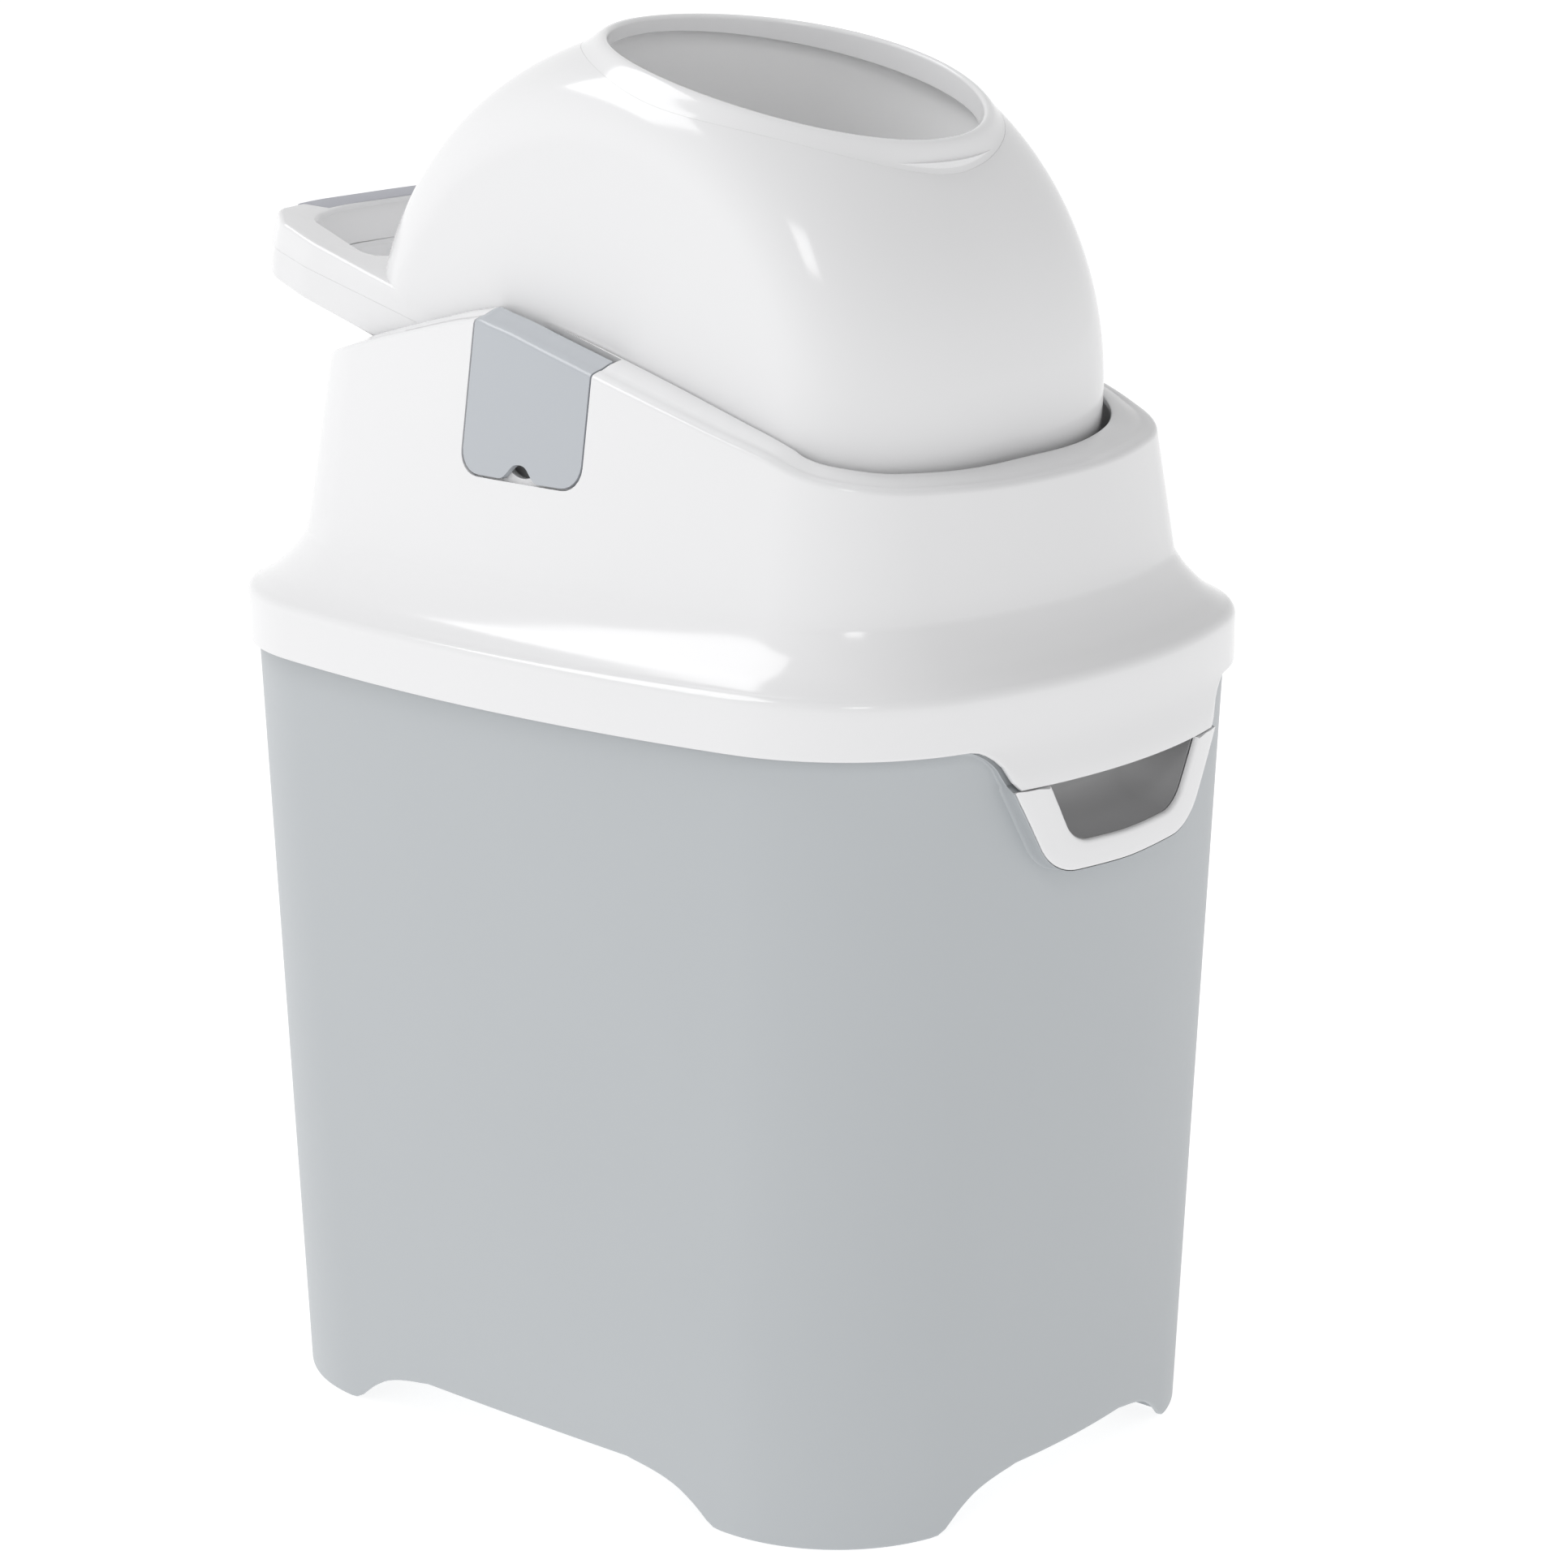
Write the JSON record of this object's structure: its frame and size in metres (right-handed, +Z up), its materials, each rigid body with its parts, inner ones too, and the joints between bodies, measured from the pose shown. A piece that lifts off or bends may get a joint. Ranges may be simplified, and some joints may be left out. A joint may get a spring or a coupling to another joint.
{
  "type": "nappy bin",
  "caption": "Upright nappy bin with a grey bucket on corner feet, a hinged white lid and a barrel-shaped drum that a loop handle flips over to drop the nappy.",
  "frame": {"origin": "on the floor under the middle of the whole bin, from the front tab to the rear hinge", "axes": "+Z up, front towards -Y, the two side clips on -X and +X"},
  "size_m": [0.2826, 0.3856, 0.5344],
  "materials": {
    "bucket_grey": "satin blue-grey plastic",
    "grip_white": "smooth off-white plastic",
    "lid_white": "smooth glossy white plastic",
    "cradle_white": "plain white plastic",
    "drum_white": "smooth glossy white plastic",
    "clip_grey": "satin light grey plastic",
    "handle_grey": "satin light grey plastic",
    "journal_grey": "plain light grey plastic",
    "tube_white": "smooth pale grey plastic",
    "piston_white": "smooth pale grey plastic",
    "seal_rubber": "soft matt grey rubber",
    "pin_steel": "plain zinc-plated steel",
    "weight_steel": "plain steel disc"
  },
  "bodies": {
    "base": {"bucket": "bucket_grey", "grip_insert": "grip_white", "hinge_pin_left": "pin_steel", "hinge_pin_right": "pin_steel"},
    "lid": {"lid_housing": "lid_white", "drum_cradle": "cradle_white", "drum_seal": "seal_rubber", "lid_gasket": "seal_rubber", "cradle_screw_1": "pin_steel", "cradle_screw_2": "pin_steel", "cradle_screw_3": "pin_steel", "cradle_screw_4": "pin_steel", "cradle_screw_5": "pin_steel", "cradle_screw_6": "pin_steel"},
    "clip_left": {"side_clip_left": "clip_grey"},
    "clip_right": {"side_clip_right": "clip_grey"},
    "drum": {"drum_shell_upper": "drum_white", "drum_shell_lower": "drum_white", "handle_grip": "handle_grey", "drum_tube": "tube_white", "mouth_lip_upper": "drum_white", "mouth_lip_lower": "drum_white", "journal_left": "journal_grey", "journal_right": "journal_grey"},
    "piston": {"piston_cup_upper": "piston_white", "piston_cup_lower": "piston_white", "piston_seal_upper": "seal_rubber", "piston_seal_lower": "seal_rubber", "piston_weight": "weight_steel"}
  },
  "joints": [
    {"name": "lid_hinge", "type": "hinge", "parent": "base", "child": "lid", "pos_m": [0, 0.1858, 0.291], "axis": [-1, 0, 0], "range_deg": [0, 75]},
    {"name": "drum_flip", "type": "hinge", "parent": "lid", "child": "drum", "pos_m": [0, -0.0059, 0.4036], "axis": [1, 0, 0], "range_deg": [0, 151]},
    {"name": "piston_slide", "type": "slide", "parent": "drum", "child": "piston", "axis": [0, -0.2504, 0.9681], "range_m": [0, 0.1498]},
    {"name": "side_clip_left_lift", "type": "slide", "parent": "lid", "child": "clip_left", "axis": [0, 0, 1], "range_m": [0, 0.05]},
    {"name": "side_clip_right_lift", "type": "slide", "parent": "lid", "child": "clip_right", "axis": [0, 0, 1], "range_m": [0, 0.05]}
  ]
}
